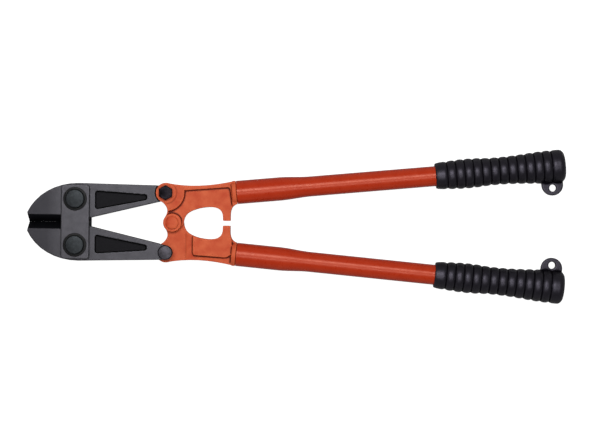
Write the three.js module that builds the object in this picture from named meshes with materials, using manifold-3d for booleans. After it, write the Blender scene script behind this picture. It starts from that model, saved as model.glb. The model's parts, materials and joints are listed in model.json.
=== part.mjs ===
// Centre-cut bolt cutters, 450 mm class, lying flat with the jaws closed.
// Millimetres. X runs from the jaws to the grips, Y across the handles, Z up through the thickness.
// The shapes are drawn about the centre pivot, on the plane where the two halves of the tool meet.
// The last lines move the whole tool so that its box is centred on X and Y and stands on Z = 0.
import * as THREE from "three";
import { mergeVertices } from "three/addons/utils/BufferGeometryUtils.js";
import Module from "manifold-3d";

// ---- Clearances ----
const LAP_GAP = 0.15; // each half-lapped face stands this far off the middle plane
const FIT_GAP = 0.3; // round a pin, in a bore or between two moving faces
const SEAT_GAP = 0.1; // under a head, a nut or a washer that is pulled down tight
const LAP_CLEAR = 0.6; // round the end of an ear, so that it can turn in its half-lap

// ---- Linkage, from the centre pivot ----
const REAR_BOLT = { x: -5.5, y: 25 }; // jaw arm to handle casting
const JAW_BOLT = { x: -80.6, y: 19.2 }; // strap to jaw
const TUBE_ANGLE = THREE.MathUtils.degToRad(5.3); // each handle leans outwards

// ---- Jaws ----
const JAW_HALF = 6.5; // half the thickness
const NOSE_LENGTH = 40.5; // ahead of the jaw bolt
const NOSE_HALF = 7.8; // half the height of the blunt nose
const NOTCH_DEPTH = 1.6;
const JAW_CROWN = 13.3; // outer edge above the jaw bolt
const CROWN_BACK = 2.6; // the crown is highest this far behind the jaw bolt
const NOSE_PULL = { x: 7, y: 14.7 }; // how steeply the back of the jaw leaves the nose
const CROWN_PULL = 20; // and how flatly it reaches the crown
const ARM_END_ANGLE = -1.35; // where the round end runs into the inner edge, in radians
const BEVEL_HEIGHT = 5.9; // the ground bevel behind the cutting edge
const EDGE_LAND = 0.4; // half the flat left on the cutting edge
const HEEL_X = 4; // behind the jaw bolt, where the inner edge turns into the arm
const HEEL_LIFT = 1.7; // inner edge above the middle there
const ARM_END_R = 6;
const POCKET_DEPTH = 1.5;
const POCKET_ROUND = 1.9;
const POCKET_LENGTH = 43;
const POCKET_START = 4.6; // behind the strap
const POCKET_TOP = 6.9; // its wide end above the jaw bolt
const POCKET_BOTTOM = 8.6; // and below it
const POCKET_TIP_LIFT = 1.9; // the middle of the narrow end above the jaw bolt
const POCKET_TIP = 4.2; // its height at the narrow end

// ---- Straps, bolts, nuts, washers ----
const STRAP_THICK = 4;
const STRAP_MARGIN = 11.8; // round the jaw bolt centres
const STRAP_CORNER = 3;
const JAW_BOLT_R = 6;
const JAW_HEAD_R = 8;
const JAW_HEAD_HIGH = 3.2;
const WASHER_R = 9.8;
const WASHER_THICK = 1.2;
const JAW_NUT_FLATS = 16;
const JAW_NUT_HIGH = 4.5;
const REAR_BOLT_R = 4;
const REAR_HEAD_R = 6.2;
const REAR_HEAD_HIGH = 3.4;
const REAR_NUT_FLATS = 11;
const REAR_NUT_HIGH = 4.6;
const THREAD_PAST_NUT = 0.8;

// ---- Handle castings ----
const PLATE_TOP = 6; // outer face of the casting above the middle plane
const PANEL_DROP = 1.5; // recessed panel below that face
const EAR_R = 8.4;
const EAR_BOSS = 0.5; // raised ring under the rear nut
const EAR_SHIELD_R = 15.5; // thick metal round the ear
const LUG_R = 7.7; // round the centre pivot
const WINDOW_LEFT = 9.7;
const WINDOW_LENGTH = 32.6;
const WINDOW_HALF = 13.4;
const STOP_WIDTH = 6.4;
const STOP_HALF_GAP = 2;
const SHANK_LENGTH = 4.8; // from the stop to the end of the tube
const SHANK_RISE = 25.9; // tube centre above the middle there
const BARREL_R = 10;
const BARREL_LENGTH = 3.8;
const SPIGOT_LENGTH = 30;
const PAD_LEFT = 17.3; // the raised pad on the inner side starts here
const RAMP_START = 12; // the inner rim climbs from here to the barrel
const RAMP_END = 44;
const RAMP_EASE = 8; // its first stretch climbs more gently
const RAMP_EASE_DROP = 0.55;
const RIM_SAG = { x: 32, y: 7.7 }; // the outer edge dips this far back from the barrel
const EAR_HOOK = { x: 2.9, y: 0.5 }; // where the ear's round end meets the waist
const WAIST_X = -4.2; // the left edge between lug and ear
const WAIST_TOP = 11.5; // it turns down this far below the rear bolt
const WAIST_BOTTOM = 2.6; // and out again this far above the lug
const LUG_LEFT = { x: 0.87, y: 0.49 }; // the outline meets the lug here, as shares of its radius
const LUG_RIGHT = { x: 0.81, y: 0.57 };
const LUG_DIP = 0.7; // small bends where the lug runs into the waist and the window
const LUG_SIDE = 0.2;
const WINDOW_FOOT = { x: 0.4, y: 2.2 };
const WINDOW_SHOULDER = { x: 4.1, y: 0.63 }; // the curve of the window's top, out and as a share up
const WINDOW_PULL = { x: 0.3, y: 0.41 };
const WINDOW_CREST = { x: 10.8, y: 0.5 };
const WINDOW_CORNER = 11.3; // the window's rounded corner starts this far before its right end
const WINDOW_LIFT = 0.4;
const STOP_FOOT = 3; // straight part of the stop above its face
const STOP_THROAT = { x: 0.3, y: 8.6 }; // the stop's outer edge runs up into the shank here
const THROAT_PULL = 1.1;
const PANEL_RIGHT = 1.9; // the recessed panel ends this far past the stop
const PANEL_FOOT = 12; // and its right end starts this far below the tube's centre
const PANEL_INSET = 5; // from the barrel and from the outer edge
const PANEL_LEFT = { x: 17, y: 2.3 }; // top left corner, from the rear bolt
const PANEL_BEYOND = 4; // past the lug, where the panel runs out over the edge
const PANEL_WAIST = 1;
const CORNER_ROUND = 2.5; // of the panel and of the pad
const PAD_RIGHT = 1.2;
const PAD_BEYOND = 4; // past the middle, where the pad runs out over the stop's face
const PAD_INSET = { along: 8, out: 6.2 };
const PAD_SLOPE = 3;
const PAD_TOP = 1.8; // above the rear bolt

// ---- Centre pivot ----
const PIN_R = 3;
const PIVOT_HEAD_R = 5.4;
const PIVOT_HEAD_HIGH = 2.4;
const PIN_TOP = 3.2; // the pin ends inside the front lug
const PIN_CLEAR = 1.1; // round the pin in its pocket, because its path there is slightly curved
const PIN_ROOM = 4.7; // how far the pin wanders in its pocket between the two limits
const PIN_ROOM_ANGLE = THREE.MathUtils.degToRad(64);

// ---- Tubes and grips ----
const TUBE_R = 9.8; // where it is pressed over the casting's spigot
const TUBE_SLIM_R = 8.4; // along the handle and inside the grip
const TUBE_WALL = 2;
const SWAGE_START = 36; // the tube is full size up to here
const SWAGE_LENGTH = 26; // and is drawn down to the slim size over this length
const GRIP_START = 167; // along the tube from the casting
const GRIP_LENGTH = 109;
const GRIP_FRONT_R = 11;
const GRIP_PALM_R = 12.5;
const GRIP_WAIST_R = 11.6;
const GRIP_END_R = 13.7;
const GRIP_CAP = 5.5; // solid end past the tube
const TAB_OFFSET = 18; // hanging hole from the tube's centre
const TAB_FROM_END = 12;
const TAB_R = 8.9;
const TAB_CENTRE = 15.4; // middle of the eye's round end, nearer the tube than the hole is
const TAB_HOLE_R = 3;
const TAB_THICK = 5;

// ---- Derived places ----
const WINDOW_RIGHT = WINDOW_LEFT + WINDOW_LENGTH;
const STOP_RIGHT = WINDOW_RIGHT + STOP_WIDTH;
const SHANK = { x: STOP_RIGHT + SHANK_LENGTH, y: SHANK_RISE };
const PANEL_TOP = PLATE_TOP - PANEL_DROP;
const STRAP_LOW = JAW_HALF + FIT_GAP;
const STRAP_TOP = STRAP_LOW + STRAP_THICK;
const WASHER_LOW = STRAP_TOP + SEAT_GAP;
const HEAD_LOW = WASHER_LOW + WASHER_THICK + SEAT_GAP;
const SPIGOT_R = TUBE_R - TUBE_WALL - FIT_GAP;
const TAB_ALONG = GRIP_START + GRIP_LENGTH - TAB_FROM_END;

// ---- Finishes ----
const finish = (color, roughness, metalness) =>
  new THREE.MeshStandardMaterial({ color, roughness, metalness });
const BLACKENED_STEEL = finish(0x57565b, 0.5, 0.8);
const PLATE_STEEL = finish(0x626166, 0.45, 0.85);
const BOLT_STEEL = finish(0x4a5055, 0.4, 0.9);
const WASHER_BLACK = finish(0x17181a, 0.5, 0.6);
const CASTING_PAINT = finish(0xc9573a, 0.5, 0);
const TUBE_PAINT = finish(0xc03c1e, 0.35, 0);
const GRIP_VINYL = finish(0x151418, 0.45, 0);

// ---- Solids ----
const wasm = await Module();
wasm.setup();
const ROUND = 32; // sides of a round piece
const TALL = 40; // longer than any piece is thick

/** A closed three.js geometry as a solid that can be joined and cut. */
function solid(geometry) {
  geometry.deleteAttribute("normal");
  geometry.deleteAttribute("uv");
  const merged = mergeVertices(geometry, 1e-4);
  return new wasm.Manifold(
    new wasm.Mesh({
      numProp: 3,
      vertProperties: merged.attributes.position.array,
      triVerts: new Uint32Array(merged.index.array),
    }),
  );
}

/** A flat outline raised from one level to another. */
function plate(outline, low, high) {
  const options = { depth: high - low, bevelEnabled: false, curveSegments: 8 };
  return solid(new THREE.ExtrudeGeometry(outline, options).translate(0, 0, low));
}

/** A round bar that stands on Z, at a place on the middle plane. */
function bar(radius, low, high, place = { x: 0, y: 0 }) {
  const cylinder = new THREE.CylinderGeometry(radius, radius, high - low, ROUND);
  cylinder.rotateX(Math.PI / 2).translate(place.x, place.y, (low + high) / 2);
  return solid(cylinder);
}

/** A profile of [radius, height] pairs turned about Z. */
function turned(profile, sides = ROUND) {
  const points = profile.map(([radius, height]) => new THREE.Vector2(radius, height));
  return new THREE.LatheGeometry(points, sides).rotateX(Math.PI / 2);
}

/** A profile turned about the tube's centre line, from the end of the casting. */
function alongTube(profile) {
  const geometry = turned(profile).rotateY(Math.PI / 2).rotateZ(TUBE_ANGLE);
  return solid(geometry.translate(SHANK.x, SHANK.y, 0));
}

/** The place at a distance along the tube and out from its centre line. */
function besideTube(along, out) {
  return {
    x: SHANK.x + along * Math.cos(TUBE_ANGLE) - out * Math.sin(TUBE_ANGLE),
    y: SHANK.y + along * Math.sin(TUBE_ANGLE) + out * Math.cos(TUBE_ANGLE),
  };
}

/** A closed outline through straight corners. */
function polygon(corners) {
  return new THREE.Shape(corners.map(([x, y]) => new THREE.Vector2(x, y)));
}

/** A closed outline whose corners are all rounded. */
function rounded(corners, radius) {
  const points = corners.map(([x, y]) => new THREE.Vector2(x, y));
  const outline = new THREE.Shape();
  points.forEach((corner, i) => {
    const before = points[(i + points.length - 1) % points.length];
    const after = points[(i + 1) % points.length];
    const toBefore = before.clone().sub(corner).normalize();
    const toAfter = after.clone().sub(corner).normalize();
    const reach = radius / Math.tan(Math.acos(toBefore.dot(toAfter)) / 2);
    const enter = corner.clone().addScaledVector(toBefore, reach);
    const leave = corner.clone().addScaledVector(toAfter, reach);
    if (i === 0) outline.moveTo(enter.x, enter.y);
    else outline.lineTo(enter.x, enter.y);
    outline.quadraticCurveTo(corner.x, corner.y, leave.x, leave.y);
  });
  return outline;
}

/** A named mesh of a finished solid. */
function piece(name, shape, material) {
  const made = shape.getMesh();
  const geometry = new THREE.BufferGeometry();
  geometry.setAttribute("position", new THREE.BufferAttribute(made.vertProperties, 3));
  geometry.setIndex(new THREE.BufferAttribute(made.triVerts, 1));
  geometry.computeVertexNormals();
  const mesh = new THREE.Mesh(geometry, material);
  mesh.name = name;
  return mesh;
}

// ---- Jaws ----
/** The upper jaw seen from above: nose, crowned back, tapering arm and round end. */
function jawOutline() {
  const tipX = JAW_BOLT.x - NOSE_LENGTH;
  const crown = { x: JAW_BOLT.x + CROWN_BACK, y: JAW_BOLT.y + JAW_CROWN };
  const outline = new THREE.Shape();
  outline.moveTo(tipX + NOTCH_DEPTH, LAP_GAP);
  outline.lineTo(tipX, NOSE_HALF);
  outline.bezierCurveTo(
    tipX + NOSE_PULL.x, NOSE_HALF + NOSE_PULL.y,
    crown.x - CROWN_PULL, crown.y,
    crown.x, crown.y,
  );
  outline.lineTo(REAR_BOLT.x, REAR_BOLT.y + ARM_END_R);
  outline.absarc(REAR_BOLT.x, REAR_BOLT.y, ARM_END_R, Math.PI / 2, ARM_END_ANGLE, true);
  outline.lineTo(JAW_BOLT.x + HEEL_X, HEEL_LIFT);
  outline.lineTo(JAW_BOLT.x, LAP_GAP);
  return outline;
}

/** The slope ground from a face of the jaw down to the cutting edge, as the metal to remove. */
function bevelCut() {
  const section = polygon([
    [-1, EDGE_LAND],
    [LAP_GAP, EDGE_LAND],
    [BEVEL_HEIGHT, JAW_HALF],
    [BEVEL_HEIGHT, JAW_HALF + 1],
    [-1, JAW_HALF + 1],
  ]);
  const length = NOSE_LENGTH - STRAP_MARGIN + 2;
  const wedge = new THREE.ExtrudeGeometry(section, { depth: length, bevelEnabled: false });
  const [alongX, alongY, alongZ] = [0, 1, 2].map((i) => new THREE.Vector3().setComponent(i, 1));
  wedge.applyMatrix4(new THREE.Matrix4().makeBasis(alongY, alongZ, alongX));
  return solid(wedge.translate(JAW_BOLT.x - NOSE_LENGTH - 1, 0, 0));
}

/** The long tapering hollow in a face of the arm. */
function armPocket() {
  const left = JAW_BOLT.x + STRAP_MARGIN + POCKET_START;
  const tipY = JAW_BOLT.y + POCKET_TIP_LIFT;
  return rounded(
    [
      [left, JAW_BOLT.y + POCKET_TOP],
      [left, JAW_BOLT.y - POCKET_BOTTOM],
      [left + POCKET_LENGTH, tipY - POCKET_TIP / 2],
      [left + POCKET_LENGTH, tipY + POCKET_TIP / 2],
    ],
    POCKET_ROUND,
  );
}

/** A jaw with its arm, half-lapped at the rear bolt for the ear of the casting. */
function jaw() {
  const bevel = bevelCut();
  const pocket = armPocket();
  const floor = JAW_HALF - POCKET_DEPTH;
  return plate(jawOutline(), -JAW_HALF, JAW_HALF)
    .subtract(bevel)
    .subtract(bevel.mirror([0, 0, 1]))
    .subtract(plate(pocket, floor, TALL))
    .subtract(plate(pocket, -TALL, -floor))
    .subtract(bar(EAR_R + LAP_CLEAR, -LAP_GAP, TALL, REAR_BOLT))
    .subtract(bar(REAR_BOLT_R + FIT_GAP, -TALL, TALL, REAR_BOLT))
    .subtract(bar(JAW_BOLT_R + FIT_GAP, -TALL, TALL, JAW_BOLT));
}

// ---- Straps and their fasteners ----
/** The plate that ties the two jaws together on one face of the tool. */
function strap() {
  const left = JAW_BOLT.x - STRAP_MARGIN;
  const right = JAW_BOLT.x + STRAP_MARGIN;
  const half = JAW_BOLT.y + STRAP_MARGIN;
  const outline = rounded(
    [
      [left, -half],
      [right, -half],
      [right, half],
      [left, half],
    ],
    STRAP_CORNER,
  );
  let made = plate(outline, STRAP_LOW, STRAP_TOP);
  for (const y of [JAW_BOLT.y, -JAW_BOLT.y]) {
    made = made.subtract(bar(JAW_BOLT_R + FIT_GAP, 0, TALL, { x: JAW_BOLT.x, y }));
  }
  return made;
}

/** A shank with a low domed head, head up, its underside at a given level. */
function domedBolt(shankR, tailZ, headZ, headR, headHigh) {
  const edge = headHigh * 0.55;
  return solid(
    turned([
      [0, tailZ],
      [shankR - 0.6, tailZ],
      [shankR, tailZ + 0.6],
      [shankR, headZ],
      [headR, headZ],
      [headR, headZ + edge],
      [headR * 0.9, headZ + headHigh * 0.8],
      [headR * 0.62, headZ + headHigh * 0.95],
      [0, headZ + headHigh],
    ]),
  );
}

/** A flat ring between two levels. */
function ring(outerR, innerR, low, high) {
  return bar(outerR, low, high).subtract(bar(innerR, -TALL, TALL));
}

/** A six-sided nut with its corners turned off on both faces. */
function hexNut(flats, boreR, low, high) {
  const corner = flats / Math.sqrt(3);
  const chamfer = (corner - flats / 2) / Math.sqrt(3);
  const blank = new THREE.CylinderGeometry(corner, corner, high - low, 6);
  const cone = turned([
    [0, low],
    [flats / 2, low],
    [corner, low + chamfer],
    [corner, high - chamfer],
    [flats / 2, high],
    [0, high],
  ]);
  return solid(blank.rotateX(Math.PI / 2).translate(0, 0, (low + high) / 2))
    .intersect(solid(cone))
    .subtract(bar(boreR, -TALL, TALL));
}

/** The bolt, two washers and nut at one jaw, with the head on the front face. */
function jawFasteners(side, y) {
  const nutHigh = -HEAD_LOW;
  const nutLow = nutHigh - JAW_NUT_HIGH;
  const washer = ring(WASHER_R, JAW_BOLT_R + FIT_GAP, WASHER_LOW, WASHER_LOW + WASHER_THICK);
  const bolt = domedBolt(JAW_BOLT_R, nutLow - THREAD_PAST_NUT, HEAD_LOW, JAW_HEAD_R, JAW_HEAD_HIGH);
  const nut = hexNut(JAW_NUT_FLATS, JAW_BOLT_R + FIT_GAP, nutLow, nutHigh);
  const set = new THREE.Group();
  set.position.set(JAW_BOLT.x, y, 0);
  set.add(piece(side + "_jaw_bolt", bolt, BOLT_STEEL));
  set.add(piece(side + "_jaw_washer_front", washer, WASHER_BLACK));
  set.add(piece(side + "_jaw_washer_back", washer.mirror([0, 0, 1]), WASHER_BLACK));
  set.add(piece(side + "_jaw_nut", nut, BOLT_STEEL));
  return set;
}

// ---- Handle castings ----
/** The casting seen from above: ear, lug, top rail, barrel end, stop and its half of the window. */
function castingOutline() {
  const top = besideTube(0, TUBE_R);
  const bottom = besideTube(0, -TUBE_R);
  const outline = new THREE.Shape();
  const bend = (cx, cy, x, y) => outline.quadraticCurveTo(cx, cy, x, y);
  outline.moveTo(REAR_BOLT.x, REAR_BOLT.y + EAR_R);
  outline.lineTo(REAR_BOLT.x, REAR_BOLT.y);
  outline.lineTo(REAR_BOLT.x - EAR_HOOK.x, REAR_BOLT.y - EAR_R + EAR_HOOK.y);
  bend(WAIST_X, REAR_BOLT.y - WAIST_TOP, WAIST_X, LUG_R + WAIST_BOTTOM);
  bend(WAIST_X - LUG_SIDE, LUG_R - LUG_DIP, -LUG_R * LUG_LEFT.x, LUG_R * LUG_LEFT.y);
  outline.lineTo(0, -LUG_R / 2);
  outline.lineTo(LUG_R * LUG_RIGHT.x, -LUG_R * LUG_RIGHT.y);
  bend(WINDOW_LEFT - WINDOW_FOOT.x, -WINDOW_FOOT.y, WINDOW_LEFT, 0);
  bend(
    WINDOW_LEFT + WINDOW_PULL.x, WINDOW_HALF * WINDOW_PULL.y,
    WINDOW_LEFT + WINDOW_SHOULDER.x, WINDOW_HALF * WINDOW_SHOULDER.y,
  );
  bend(
    WINDOW_LEFT + WINDOW_CREST.x, WINDOW_HALF - WINDOW_CREST.y,
    WINDOW_RIGHT - WINDOW_CORNER, WINDOW_HALF,
  );
  bend(WINDOW_RIGHT, WINDOW_HALF + WINDOW_LIFT, WINDOW_RIGHT, STOP_HALF_GAP + STOP_FOOT);
  outline.lineTo(WINDOW_RIGHT, STOP_HALF_GAP);
  outline.lineTo(STOP_RIGHT, STOP_HALF_GAP);
  outline.lineTo(STOP_RIGHT, bottom.y - STOP_THROAT.y);
  bend(STOP_RIGHT + STOP_THROAT.x, bottom.y - THROAT_PULL, bottom.x, bottom.y);
  outline.lineTo(top.x, top.y);
  bend(top.x - RIM_SAG.x, top.y - RIM_SAG.y, REAR_BOLT.x, REAR_BOLT.y + EAR_R);
  return outline;
}

/** The recessed panel on the outer side, before the ear and the lug are left standing in it. */
function panelOutline() {
  const top = besideTube(-PANEL_INSET, TUBE_R - PANEL_INSET);
  const left = -LUG_R - PANEL_BEYOND;
  const right = STOP_RIGHT + PANEL_RIGHT;
  return rounded(
    [
      [left, left],
      [right, left],
      [right, SHANK.y - PANEL_FOOT],
      [top.x, top.y],
      [REAR_BOLT.x + PANEL_LEFT.x, REAR_BOLT.y + PANEL_LEFT.y],
      [left, REAR_BOLT.y + PANEL_WAIST],
    ],
    CORNER_ROUND,
  );
}

/** The raised pad on the inner side, which also carries the stop. */
function padOutline() {
  const top = besideTube(-PAD_INSET.along, TUBE_R - PAD_INSET.out);
  const right = STOP_RIGHT + PAD_RIGHT;
  return rounded(
    [
      [PAD_LEFT, -PAD_BEYOND],
      [right, -PAD_BEYOND],
      [right, top.y - PAD_SLOPE],
      [top.x, top.y],
      [PAD_LEFT, REAR_BOLT.y + PAD_TOP],
    ],
    CORNER_ROUND,
  );
}

/** The block above a line that climbs from the middle plane to the inner rim's full depth. */
function rampBlock() {
  const section = polygon([
    [RAMP_START, -LAP_GAP],
    [RAMP_START + RAMP_EASE, -LAP_GAP - RAMP_EASE_DROP],
    [RAMP_END, -PANEL_TOP],
    [SHANK.x, -PANEL_TOP],
    [SHANK.x, LAP_GAP + 1],
    [RAMP_START, LAP_GAP + 1],
  ]);
  const wide = 2 * TALL;
  const block = new THREE.ExtrudeGeometry(section, { depth: wide, bevelEnabled: false });
  return solid(block.rotateX(Math.PI / 2).translate(0, wide, 0));
}

/** The round end that carries the tube: a short barrel out of the casting and a long spigot. */
function barrel() {
  return alongTube([
    [0, -BARREL_LENGTH],
    [BARREL_R - 0.8, -BARREL_LENGTH],
    [BARREL_R, -BARREL_LENGTH + 1],
    [BARREL_R, -0.5],
    [BARREL_R - 0.5, 0],
    [SPIGOT_R, 0],
    [SPIGOT_R, SPIGOT_LENGTH - 1.5],
    [SPIGOT_R - 1.5, SPIGOT_LENGTH],
    [0, SPIGOT_LENGTH],
  ]);
}

/** The pocket inside the front lug in which the pin ends. */
function pinPocket() {
  const radius = PIN_R + PIN_CLEAR;
  const along = { x: Math.cos(PIN_ROOM_ANGLE), y: Math.sin(PIN_ROOM_ANGLE) };
  const outline = new THREE.Shape();
  outline.absarc(0, 0, radius, PIN_ROOM_ANGLE + Math.PI / 2, PIN_ROOM_ANGLE - Math.PI / 2, false);
  outline.absarc(
    along.x * PIN_ROOM,
    along.y * PIN_ROOM,
    radius,
    PIN_ROOM_ANGLE - Math.PI / 2,
    PIN_ROOM_ANGLE + Math.PI / 2,
    false,
  );
  return plate(outline, -LAP_GAP, PIN_TOP + FIT_GAP);
}

/** A handle casting without its pivot hole. */
function castingBlank() {
  const outline = castingOutline();
  const whole = plate(outline, -TALL, TALL);
  const panel = plate(panelOutline(), PANEL_TOP, TALL)
    .subtract(bar(EAR_SHIELD_R, 0, TALL, REAR_BOLT))
    .subtract(bar(LUG_R, 0, TALL));
  const innerPad = plate(padOutline(), -PLATE_TOP, LAP_GAP + 1);
  const inner = rampBlock().add(innerPad).intersect(whole);
  return plate(outline, LAP_GAP, PLATE_TOP)
    .add(bar(LUG_R, LAP_GAP, PLATE_TOP))
    .add(bar(EAR_R, LAP_GAP, PLATE_TOP + EAR_BOSS, REAR_BOLT))
    .subtract(panel)
    .add(inner)
    .add(barrel())
    .subtract(bar(REAR_BOLT_R + FIT_GAP, -TALL, TALL, REAR_BOLT));
}

// ---- Tubes and grips ----
/** The steel tube, drawn down past the spigot, to just short of the grip's closed end. */
function tube() {
  const end = GRIP_START + GRIP_LENGTH - GRIP_CAP - FIT_GAP;
  const slim = SWAGE_START + SWAGE_LENGTH;
  return alongTube([
    [TUBE_R - TUBE_WALL, FIT_GAP],
    [TUBE_R, FIT_GAP],
    [TUBE_R, SWAGE_START],
    [TUBE_SLIM_R, slim],
    [TUBE_SLIM_R, end],
    [TUBE_SLIM_R - TUBE_WALL, end],
    [TUBE_SLIM_R - TUBE_WALL, slim],
    [TUBE_R - TUBE_WALL, SWAGE_START],
    [TUBE_R - TUBE_WALL, FIT_GAP],
  ]);
}

/** The moulded sleeve: a slight swell for the hand, a flared and rounded closed end. */
function grip() {
  const end = GRIP_START + GRIP_LENGTH;
  const bore = TUBE_SLIM_R + FIT_GAP;
  const at = (share) => GRIP_START + GRIP_LENGTH * share;
  return alongTube([
    [bore, GRIP_START],
    [GRIP_FRONT_R - 0.6, GRIP_START],
    [GRIP_FRONT_R, at(0.02)],
    [GRIP_PALM_R - 0.4, at(0.14)],
    [GRIP_PALM_R, at(0.24)],
    [GRIP_PALM_R - 0.2, at(0.32)],
    [GRIP_WAIST_R, at(0.44)],
    [GRIP_WAIST_R + 0.1, at(0.54)],
    [GRIP_END_R - 1.3, at(0.66)],
    [GRIP_END_R - 0.2, at(0.8)],
    [GRIP_END_R, at(0.86)],
    [GRIP_END_R, end - 5],
    [GRIP_END_R - 1.6, end - 1.8],
    [GRIP_END_R - 5, end - 0.3],
    [0, end],
    [0, end - GRIP_CAP],
    [bore, end - GRIP_CAP],
    [bore, GRIP_START],
  ]);
}

/** The flat eye on the inner side of the grip, by which the tool is hung. */
function hangTab() {
  const hole = besideTube(TAB_ALONG, -TAB_OFFSET);
  const middle = besideTube(TAB_ALONG, -TAB_CENTRE);
  const root = GRIP_END_R + FIT_GAP;
  const corners = [
    besideTube(TAB_ALONG - TAB_R, -TAB_CENTRE),
    besideTube(TAB_ALONG + TAB_R, -TAB_CENTRE),
    besideTube(TAB_ALONG + TAB_R, -root),
    besideTube(TAB_ALONG - TAB_R, -root),
  ];
  const half = TAB_THICK / 2;
  const neck = plate(polygon(corners.map(({ x, y }) => [x, y])), -half, half);
  const sleeve = alongTube([
    [0, 0],
    [root, 0],
    [root, GRIP_START + GRIP_LENGTH + 1],
    [0, GRIP_START + GRIP_LENGTH + 1],
  ]);
  return neck
    .add(bar(TAB_R, -half, half, middle))
    .subtract(bar(TAB_HOLE_R, -TALL, TALL, hole))
    .subtract(sleeve);
}

// ---- The two halves of the tool ----
/** The bolt and nut at the rear of one jaw arm, with the nut on the ear. */
function rearFasteners(side) {
  const nutLow = PLATE_TOP + EAR_BOSS + SEAT_GAP;
  const nutHigh = nutLow + REAR_NUT_HIGH;
  const headLow = JAW_HALF + SEAT_GAP;
  const tail = -nutHigh - THREAD_PAST_NUT;
  const bolt = domedBolt(REAR_BOLT_R, tail, headLow, REAR_HEAD_R, REAR_HEAD_HIGH);
  const nut = hexNut(REAR_NUT_FLATS, REAR_BOLT_R + FIT_GAP, nutLow, nutHigh);
  const set = new THREE.Group();
  set.position.set(REAR_BOLT.x, REAR_BOLT.y, 0);
  set.add(piece(side + "_rear_bolt", bolt.rotate([180, 0, 0]), BOLT_STEEL));
  set.add(piece(side + "_rear_nut", nut, BOLT_STEEL));
  return set;
}

/** The jaw, casting, tube and grip of one side, with the pivot hole that its casting needs. */
function half(side, pivotHole) {
  const made = new THREE.Group();
  made.add(piece(side + "_jaw", jaw(), BLACKENED_STEEL));
  made.add(rearFasteners(side));
  made.add(piece(side + "_handle_casting", castingBlank().subtract(pivotHole), CASTING_PAINT));
  made.add(piece(side + "_handle_tube", tube(), TUBE_PAINT));
  made.add(piece(side + "_grip", grip(), GRIP_VINYL));
  made.add(piece(side + "_hang_tab", hangTab(), GRIP_VINYL));
  return made;
}

/** The pivot rivet: its pin and back head turn with the lower casting. */
function pivotPin() {
  const rivet = domedBolt(PIN_R, -PIN_TOP, PLATE_TOP + SEAT_GAP, PIVOT_HEAD_R, PIVOT_HEAD_HIGH);
  return piece("pivot_rivet", rivet.rotate([180, 0, 0]), CASTING_PAINT);
}

/** The rivet's front head, which turns with the upper casting. */
function pivotFrontHead() {
  const low = PLATE_TOP + SEAT_GAP;
  const head = domedBolt(PIN_R, low - 1, low, PIVOT_HEAD_R, PIVOT_HEAD_HIGH);
  const flat = head.intersect(bar(PIVOT_HEAD_R + 1, low, TALL));
  return piece("pivot_rivet_front_head", flat, CASTING_PAINT);
}

// ---- The tool ----
const tool = new THREE.Group();
tool.add(half("upper", pinPocket()));
const lower = half("lower", bar(PIN_R + FIT_GAP, -TALL, TALL));
lower.rotation.x = Math.PI; // the same half, turned over
tool.add(lower);
tool.add(piece("strap_front", strap(), PLATE_STEEL));
tool.add(piece("strap_back", strap().mirror([0, 0, 1]), PLATE_STEEL));
tool.add(jawFasteners("upper", JAW_BOLT.y));
tool.add(jawFasteners("lower", -JAW_BOLT.y));
tool.add(pivotPin());
tool.add(pivotFrontHead());

const box = new THREE.Box3().setFromObject(tool, true);
const centre = box.getCenter(new THREE.Vector3());
tool.position.set(-centre.x, -centre.y, -box.min.z);

const group = new THREE.Group();
group.add(tool);

export default group;
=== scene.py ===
# %% [markdown]
# # Bolt cutters
# Centre-cut bolt cutters lie flat on a pale floor. Two forged jaws are tied together by bolted straps, and
# each jaw arm is bolted to a cast handle head that carries a painted steel tube and a ribbed vinyl grip.
# The engineering model already holds every size and joint. This lesson gives each piece the surface that
# its maker gave it: forged and blackened steel, painted iron, drawn tube and moulded vinyl.

import json
import math

import bmesh
import bpy
import numpy as np
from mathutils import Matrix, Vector


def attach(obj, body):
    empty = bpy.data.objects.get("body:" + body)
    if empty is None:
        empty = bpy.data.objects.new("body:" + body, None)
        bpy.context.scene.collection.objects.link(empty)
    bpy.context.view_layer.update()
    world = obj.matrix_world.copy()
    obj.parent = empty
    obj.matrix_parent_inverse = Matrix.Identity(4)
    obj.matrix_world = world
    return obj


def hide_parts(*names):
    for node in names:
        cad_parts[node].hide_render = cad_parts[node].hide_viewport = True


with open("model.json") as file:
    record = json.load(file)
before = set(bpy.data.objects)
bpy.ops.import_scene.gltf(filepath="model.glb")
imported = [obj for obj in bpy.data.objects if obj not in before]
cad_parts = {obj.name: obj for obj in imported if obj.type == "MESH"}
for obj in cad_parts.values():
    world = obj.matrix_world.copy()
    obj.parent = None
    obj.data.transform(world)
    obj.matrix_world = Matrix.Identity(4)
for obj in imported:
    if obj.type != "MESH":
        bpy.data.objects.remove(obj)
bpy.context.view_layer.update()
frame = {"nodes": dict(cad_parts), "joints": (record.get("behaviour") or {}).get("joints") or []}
MM = 0.001
SIDES = ("upper", "lower")

# %% [markdown]
# The joints of the record tell where the bolts are. Each bolt centre is read from the joint that turns on
# it, so that nothing here has to be fitted by hand.

# %% Bolt centres and the middle of the thickness
hinges = {joint["name"]: Vector(joint["pos_m"]) for joint in frame["joints"]}
jaw_centre = {side: hinges[side + "_jaw_pivot"] for side in SIDES}
rear_centre = {side: hinges[side + "_handle_swing"] for side in SIDES}
middle_z = jaw_centre["upper"].z
print("jaw bolts:", [tuple(round(v / MM, 2) for v in c) for c in jaw_centre.values()])

# %% [markdown]
# ## Small helpers
# Colours are written as the hex values of a paint chart and turned to linear light by one function. One
# more function adds a node of any kind, with its settings and links, to a material or a geometry tree.


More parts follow.
